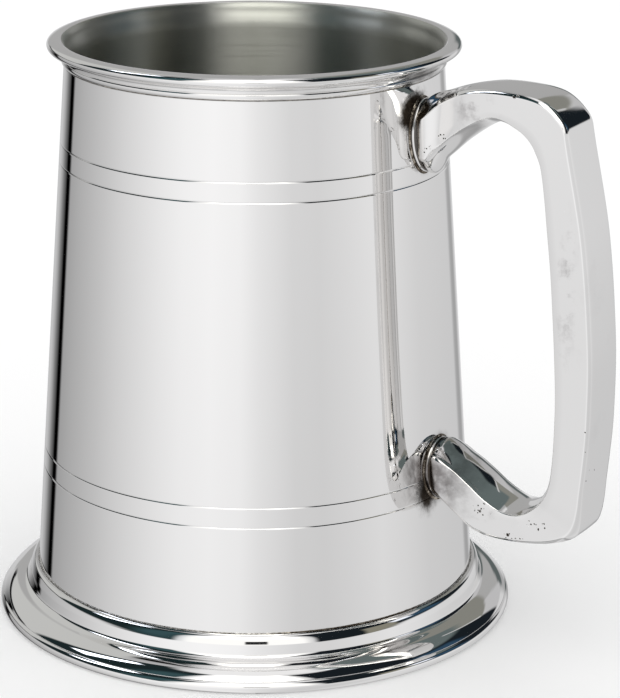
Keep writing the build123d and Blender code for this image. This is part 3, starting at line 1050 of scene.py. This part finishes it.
# %% [markdown]
# The handle came out of the mould with a grainy skin. Filing and polishing made it bright, but not
# flat: fingers left smudges, and pits stayed where the file didn't reach, most of all on the lower arm
# and near the upper root. The pits are dark because polish has dried in them. Each place is given by
# the x and z of its middle and its half sizes in millimetres, and each cluster also by how much of it
# is pitted.
# %% Where the handle has pits and smudges
PIT_PLACES = (
    ((43.2, 103.8), (2.0, 1.7), 0.55),
    ((46.5, 106.7), (2.0, 1.0), 0.50),
    ((62.5, 116.6), (1.2, 0.6), 0.50),
    ((57.5, 31.6), (3.0, 2.4), 0.35),
    ((69.5, 30.8), (4.6, 1.6), 0.40),
    ((64.3, 27.5), (4.4, 1.0), 0.45),
    ((79.6, 52.0), (0.5, 16.0), 0.12),
)
SMUDGE_PLACES = (
    ((54.0, 112.6), (7.6, 5.6)),
    ((47.6, 35.8), (6.6, 5.6)),
    ((57.0, 32.0), (5.0, 3.6)),
    ((74.5, 80.0), (3.0, 20.0)),
)
THROUGH = 20 * MM  # a place reaches through the handle from side to side


def side_place(tree, place, middle, half_sizes, ragged):
    """A mask round a place on the side of the handle."""
    (x, z), (wide, high) = middle, half_sizes
    return near(tree, place, (x * MM, 0, z * MM), (wide * MM, THROUGH, high * MM), ragged)


def smudged(tree, place):
    """Dirt in the places where fingers hold the handle."""
    dirt = use_group(tree, SMUDGES, Vector=place, Size=230.0, Cover=0.85)["Mask"]
    held = [side_place(tree, place, middle, size, 0.8) for middle, size in SMUDGE_PLACES]
    return calc(tree, "MULTIPLY", strongest(tree, held), dirt)


def pitted(tree, place):
    """Large and small pits, only where a cluster is."""
    clusters = []
    for middle, size, cover in PIT_PLACES:
        region = side_place(tree, place, middle, size, 0.9)
        clusters.append(ramp_between(tree, region, 0.1, 0.5, 0.0, cover))
    allowed = strongest(tree, clusters)
    more = calc(tree, "MULTIPLY", allowed, 1.5)
    large = use_group(tree, PITS, Vector=place, Density=760.0, Cover=allowed)["Pit"]
    small = use_group(tree, PITS, Vector=place, Density=1700.0, Cover=more)["Pit"]
    return calc(tree, "MAXIMUM", large, small)


print("pit clusters:", len(PIT_PLACES), "smudged places:", len(SMUDGE_PLACES))

# %% [markdown]
# Where the handle meets its plates the deposit is thin. The plates themselves are dark along both edges
# of the rim and bright between, which follows from the height over the drum. The root of the lower arm
# has also gone grey with tarnish.
# %% Deposit on the handle and its plates
def root_corners(tree, place):
    """Where the handle meets its two plates."""
    return [
        near(tree, place, UPPER, (5.5 * MM, 9 * MM, 10 * MM), 0.5),
        near(tree, place, LOWER, (5.5 * MM, 9 * MM, 8.5 * MM), 0.5),
    ]


def plate_edges(tree, place):
    """The low and the high edge of a plate's rim, by the height over the drum."""
    along = put(tree, "SeparateXYZ", None, {0: place}).outputs
    flat = put(tree, "CombineXYZ", None, {"X": along["X"], "Y": along["Y"], "Z": 0.0}).outputs[0]
    radius = put(tree, "VectorMath", {"operation": "LENGTH"}, {0: flat}).outputs["Value"]
    drum_here = calc(tree, "SUBTRACT", drum_radius(0), calc(tree, "MULTIPLY", along["Z"], taper))
    over = calc(tree, "SUBTRACT", radius, drum_here)
    low = ramp_between(tree, over, 0.40 * MM, 0.55 * MM, 1, 0)
    high = ramp_between(tree, over, 0.80 * MM, 0.95 * MM)
    return [calc(tree, "MULTIPLY", low, 1.5, clamp=True), high]


def tarnished(tree, place):
    """A blotched grey round the root of the lower arm."""
    region = near(tree, place, (46.0 * MM, 0, 36.0 * MM), (13 * MM, 30 * MM, 11 * MM), 0.5)
    blotches = ramp_between(tree, noise(tree, place, 170.0, 5.0, 0.6), 0.25, 0.62)
    return calc(tree, "MULTIPLY", region, blotches)


# %% [markdown]
# The layers go over each other in the order in which they came about: the film of handling, tarnish,
# finger marks, the deposit, and the dirt in the pits. The pits are pressed into the surface as well.
# %% Cast pewter
FILM_GREY = (0.66, 0.65, 0.65, 1)
TARNISH = (0.16, 0.145, 0.14, 1)
FINGER_MARK = (0.26, 0.24, 0.24, 1)
FILED_ROUGHNESS = 0.055


def cast_pewter(name, deposit=root_corners, share=0.3):
    """Filed and polished casting with pits and smudges in their places."""
    material, tree, shader, place = new_metal(name)
    scratch = use_group(tree, SCRATCHES, Vector=place, Amount=0.8)["Mask"]
    film = use_group(tree, SMUDGES, Vector=place, Size=70.0, Cover=0.45)["Mask"]
    mark = smudged(tree, place)
    pit = pitted(tree, place)
    stain = strongest(tree, deposit(tree, place))
    colour = laid_over(tree, BRIGHT, film, 0.22, FILM_GREY)
    colour = laid_over(tree, colour, tarnished(tree, place), 1.15, TARNISH)
    colour = laid_over(tree, colour, mark, 0.75, FINGER_MARK)
    colour = laid_over(tree, colour, stain, share, DEPOSIT)
    colour = mix_colours(tree, pit, colour, DEPOSIT)
    layers = ((scratch, 0.12), (film, 0.10), (mark, 0.25), (pit, 0.5))
    rough = add_shares(tree, FILED_ROUGHNESS, *layers)
    height = add_shares(tree, 0.0, (noise(tree, place, 110.0, 2.0), 0.35), (pit, -1.0))
    connect(tree, shader, colour, rough, height, 0.05 * MM)
    return material


handle_metal = cast_pewter("cast_pewter_handle")
print("finish:", handle_metal.name)

# %% [markdown]
# Solder was melted into the joints with a torch and never polished. It is dull, grainy and brown, with
# bright specks where a cloth has touched its highest grains.
# %% Dark solder
SOLDER_BROWN = (0.16, 0.13, 0.10, 1)
SOLDER_FINE = (0.22, 0.20, 0.17, 1)
SOLDER_SPECK = (0.62, 0.56, 0.47, 1)
WORN_DARK = (0.30, 0.28, 0.26, 1)
WORN_BRIGHT = (0.62, 0.61, 0.60, 1)


def dark_solder(name, base, kept=None):
    """Grainy oxidised solder with bright high spots. kept(tree, place) masks where it was left dark."""
    material, tree, shader, place = new_metal(name)
    grain = noise(tree, place, 900.0, 4.0, 0.7)
    slow = noise(tree, place, 120.0, 3.0, 0.6)
    bright = ramp_between(tree, add_shares(tree, grain, (slow, 0.5)), 0.76, 0.95)
    colour = mix_colours(tree, bright, base, SOLDER_SPECK)
    colour = mix_colours(tree, ramp_between(tree, grain, 0.5, 0.3), colour, DEPOSIT)
    if kept is not None:
        worn = mix_colours(tree, ramp_between(tree, grain, 0.3, 0.7), WORN_DARK, WORN_BRIGHT)
        colour = mix_colours(tree, ramp_between(tree, kept(tree, place), 0.0, 0.5), worn, colour)
    rough = ramp_between(tree, bright, 0.0, 1.0, 0.5, 0.22)
    connect(tree, shader, colour, rough, grain, 0.12 * MM)
    return material


solder_metal = dark_solder("dark_solder_root", SOLDER_BROWN)
seam_metal = dark_solder("dark_solder_seam", SOLDER_BROWN, kept=under_handle)
fine_solder_metal = dark_solder("dark_solder_fine", SOLDER_FINE)
collar_metal = cast_pewter("cast_pewter_collar", plate_edges, 0.9)
print("finishes:", solder_metal.name, seam_metal.name, fine_solder_metal.name, collar_metal.name)

# %% [markdown]
# The drum, the mouth and the seam between them need two finishes each, so each mesh gets a second
# material slot. A face is part of the bore when it looks at the axis. Only the lip's upper edge, above
# the height called top, stays polished on both sides.
# %% Hand out the finishes
def paint(piece, outside, inside=None, top=None):
    """Give a piece its finish, and its inward faces another."""
    piece.data.materials.append(outside)
    if inside is None:
        return
    piece.data.materials.append(inside)
    inner = 0
    for face in piece.data.polygons:
        towards_axis = face.normal.x * face.center.x + face.normal.y * face.center.y < 0
        if towards_axis and (top is None or face.center.z < top):
            face.material_index = 1
            inner += 1
    print(f"{piece.name}: {inner} satin faces of {len(piece.data.polygons)}")


paint(drum, drum_metal, bore_metal)
paint(mouth, mouth_metal, bore_metal, mouth_high.z - 0.2 * MM)
paint(mouth_seam, fine_solder_metal, bore_metal)
paint(foot, foot_metal)
paint(foot_seam, seam_metal)
paint(floor_disc, bore_metal)
paint(floor_fillet, solder_metal)
paint(handle, handle_metal)
for collar in collars.values():
    paint(collar, collar_metal)
for bead in beads.values():
    paint(bead, solder_metal)

# %% [markdown]
# ## Studio
# Polished metal has no look of its own: what it mirrors is the look. So the studio is drawn as cards on
# the world's sphere, each a patch of white, grey or black at an azimuth and an elevation. The studio
# stays where it is when a viewer walks round the tankard, as a real one would.
# %% One card
def build_card():
    """A soft-edged patch over what is under it."""
    group = bpy.data.node_groups.new("studio_card", "ShaderNodeTree")
    for socket_name in ("Azimuth", "Elevation", "Left", "Right", "Bottom", "Top", "Softness"):
        group.interface.new_socket(socket_name, in_out="INPUT", socket_type="NodeSocketFloat")
    for socket_name in ("Card", "Under"):
        group.interface.new_socket(socket_name, in_out="INPUT", socket_type="NodeSocketColor")
    group.interface.new_socket("Color", in_out="OUTPUT", socket_type="NodeSocketColor")
    inside = group.nodes.new("NodeGroupInput").outputs
    mask = None
    for axis, near_edge, far_edge in (("Azimuth", "Left", "Right"), ("Elevation", "Bottom", "Top")):
        for edge, sign in ((near_edge, 1), (far_edge, -1)):
            past = calc(group, "MULTIPLY", calc(group, "SUBTRACT", inside[axis], inside[edge]), sign)
            share = calc(group, "ADD", calc(group, "DIVIDE", past, inside["Softness"]), 0.5)
            rise = ramp_between(group, share, 0.0, 1.0)
            mask = rise if mask is None else calc(group, "MULTIPLY", mask, rise)
    result = group.nodes.new("NodeGroupOutput").inputs
    group.links.new(mix_colours(group, mask, inside["Under"], inside["Card"]), result["Color"])
    return group


CARD = build_card()
print("group:", CARD.name)

# %% [markdown]
# Azimuths are counted in degrees from the side on which the studio's camera stands, to the right. The
# tankard stands on a sweep of white paper, which an upright wall mirrors: bright in front, and darker
# where things round the table shade it. SWEEP gives its brightness at each azimuth. The cards stand
# above it, and the later ones lie over the earlier ones.
# %% The sweep and the cards
# azimuth, brightness
SWEEP = (
    (-180, 0.60), (-160, 0.60), (-153, 0.44), (-147, 0.20), (-143.5, 0.10), (-141, 0.0), (-136.5, 0.0),
    (-134, 0.40), (-121, 0.475), (-110, 0.53), (-96, 0.61), (-82, 0.71), (-68, 0.80), (-54, 0.89),
    (-41, 0.96), (-24, 1.0), (-8, 0.96), (2, 0.86), (11, 0.80), (21, 0.73), (36, 0.71), (50, 0.755),
    (70, 0.83), (86, 0.79), (104, 0.72), (146, 0.67), (151, 0.42), (157, 0.39), (163, 0.64), (171, 0.80),
    (176, 0.45), (180, 0.36),
)
# left, right, bottom and top edge and softness in degrees, colour
CARDS = (
    # far walls, behind the tankard
    (-181, -112, 8, 60, 3, (0.58, 0.585, 0.575)),
    (-181, -112, 8, 12, 1.5, (0.01, 0.011, 0.012)),
    (154, 181, 4, 60, 3, (0.42, 0.42, 0.42)),
    (-181, -160, 4, 60, 3, (0.42, 0.42, 0.42)),
    (152, 172, 1, 11, 4, (0.11, 0.13, 0.13)),
    (134, 154, 8, 26, 3, (0.55, 0.55, 0.56)),
    # the dark room beside the lights
    (-114, -40, 8, 72, 5, (0.012, 0.022, 0.024)),
    (-62, -40, 10, 60, 16, (0.04, 0.085, 0.095)),
    (-104, -93, 38, 62, 4, (4.2, 4.5, 5.0)),
    (86, 98, 60, 74, 3, (2.2, 2.3, 2.4)),
    (30, 137, 8, 72, 4, (0.010, 0.014, 0.018)),
    (56, 74, 8, 26, 4, (0.26, 0.25, 0.20)),
    (80, 108, 12, 34, 10, (0.03, 0.07, 0.12)),
    (74, 86, 18, 30, 4, (1.1, 1.15, 1.25)),
    (136, 164, 26, 60, 2, (0.25, 0.25, 0.225)),
    (92, 150, 39, 78, 5, (0.13, 0.16, 0.16)),
    (136, 138, 27, 44, 1, (0.6, 0.6, 0.6)),
    # overhead softbox, and the one behind the camera
    (-34, 26, 9, 75, 6, (1.15, 1.15, 1.13)),
    (-30, 22, 36, 72, 8, (2.9, 2.9, 2.75)),
    (-181, 181, 76, 100, 8, (0.94, 0.94, 0.95)),
    # the camera
    (-5, 6, 14.5, 20, 1.5, (0.004, 0.004, 0.006)),
)


def hang_cards(tree, azimuth, elevation, base):
    """Lay the cards over each other in their order."""
    colour = base
    for left, right, bottom, top, softness, card in CARDS:
        outputs = use_group(
            tree, CARD, Azimuth=azimuth, Elevation=elevation, Left=left, Right=right, Bottom=bottom,
            Top=top, Softness=softness, Card=(*card, 1), Under=colour,
        )
        colour = outputs["Color"]
    return colour


print("studio cards:", len(CARDS), "sweep stops:", len(SWEEP))

# %% [markdown]
# Only reflections see the cards. Everything else sees plain white, which makes a seamless pale
# background and soft, even light on the table. The sweep is a colour ramp round the tankard, and the
# paper is a little brighter towards the horizon than it is near the tankard.
# %% Build the world
PAPER_TINT = (0.992, 0.996, 1.008)
OPEN_WHITE = (1.14, 1.14, 1.14, 1)

world = bpy.data.worlds.new("studio")
world.use_nodes = True
world.cycles.sampling_method = "NONE"
bpy.context.scene.world = world
sky = world.node_tree
sky.nodes.clear()
looking = put(sky, "TexCoord").outputs["Generated"]
spin_back = {"Vector": looking, "Angle": -CAMERA_TURN}
from_camera_side = put(sky, "VectorRotate", {"rotation_type": "Z_AXIS"}, spin_back).outputs[0]
parts = put(sky, "SeparateXYZ", None, {0: from_camera_side}).outputs
backwards = calc(sky, "MULTIPLY", parts["Y"], -1.0)
azimuth = calc(sky, "MULTIPLY", calc(sky, "ARCTAN2", parts["X"], backwards), math.degrees(1))
elevation = calc(sky, "MULTIPLY", calc(sky, "ARCSINE", parts["Z"]), math.degrees(1))
along_sweep = calc(sky, "DIVIDE", calc(sky, "ADD", azimuth, 180.0), 360.0)
sweep = put(sky, "ValToRGB", None, {"Fac": along_sweep})
stops = sweep.color_ramp.elements
for i, (degrees, brightness) in enumerate(SWEEP):
    stop = stops[i] if i < 2 else stops.new(1.0)
    stop.position = (degrees + 180) / 360
    stop.color = (*[brightness * tint for tint in PAPER_TINT], 1)
falloff = ramp_between(sky, elevation, -19, -4, 0.94, 1.05)
paper = put(sky, "VectorMath", {"operation": "SCALE"}, {0: sweep.outputs["Color"], "Scale": falloff})
room = hang_cards(sky, azimuth, elevation, paper.outputs[0])
path = put(sky, "LightPath").outputs["Is Glossy Ray"]
seen = mix_colours(sky, path, OPEN_WHITE, room)
background = put(sky, "Background", None, {"Color": seen, "Strength": 1.0})
output = put(sky, "OutputWorld")
sky.links.new(background.outputs[0], output.inputs["Surface"])
bpy.context.scene.view_settings.view_transform = "Standard"
print("world:", world.name, "with", len(sky.nodes), "nodes")

# %% [markdown]
# The table is a wide pale disc. It doesn't show in the reflections, because the sweep on the world
# already draws what lies below the horizon.
# %% Lay the table
bm = bmesh.new()
bmesh.ops.create_circle(bm, cap_ends=True, segments=96, radius=3.0)
table_mesh = bpy.data.meshes.new("table_top")
bm.to_mesh(table_mesh)
bm.free()
table = bpy.data.objects.new("table_top", table_mesh)
bpy.context.scene.collection.objects.link(table)
table.visible_glossy = False
pale = bpy.data.materials.new("pale_table")
pale.use_nodes = True
pale_tree = pale.node_tree
pale_shader = pale_tree.nodes["Principled BSDF"]
pale_shader.inputs["Specular IOR Level"].default_value = 0.0
pale_shader.inputs["Roughness"].default_value = 0.9
speck = noise(pale_tree, put(pale_tree, "TexCoord").outputs["Object"], 900.0, 2.0)
pale_colour = mix_colours(pale_tree, speck, (0.895, 0.895, 0.895, 1), (0.905, 0.905, 0.905, 1))
pale_tree.links.new(pale_colour, pale_shader.inputs["Base Color"])
table.data.materials.append(pale)
print("table:", len(table_mesh.vertices), "points round its edge")

# %% [markdown]
# ## Hand over to the frame
# Nothing on the tankard moves, so every piece rides on the one body. Each stands for the CAD node that
# it was measured from, which stays in the physics model but isn't shown.
# %% Ride and replace
ROLES = (
    (drum, "drum_wall", "polished_pewter"),
    (mouth, "mouth_moulding", "polished_pewter"),
    (mouth_seam, "mouth_solder_seam", "dark_solder"),
    (foot, "foot_moulding", "polished_pewter"),
    (foot_seam, "foot_solder_seam", "dark_solder"),
    (floor_disc, "floor_disc", "satin_pewter"),
    (floor_fillet, "floor_solder_seam", "dark_solder"),
    (handle, "handle_casting", "cast_pewter"),
    (collars["upper"], "upper_root_plate", "cast_pewter"),
    (collars["lower"], "lower_root_plate", "cast_pewter"),
    (beads["upper"], "upper_root_solder", "dark_solder"),
    (beads["lower"], "lower_root_solder", "dark_solder"),
)
for piece, node, slot in ROLES:
    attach(piece, "root")
    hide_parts(node)
    node_low, node_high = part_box(node)
    points = [vertex.co for vertex in piece.data.vertices]
    low = [round((min(p[a] for p in points) - node_low[a]) / MM, 2) for a in range(3)]
    high = [round((max(p[a] for p in points) - node_high[a]) / MM, 2) for a in range(3)]
    print(f"{piece.name} against {node}: low {low}, high {high}")
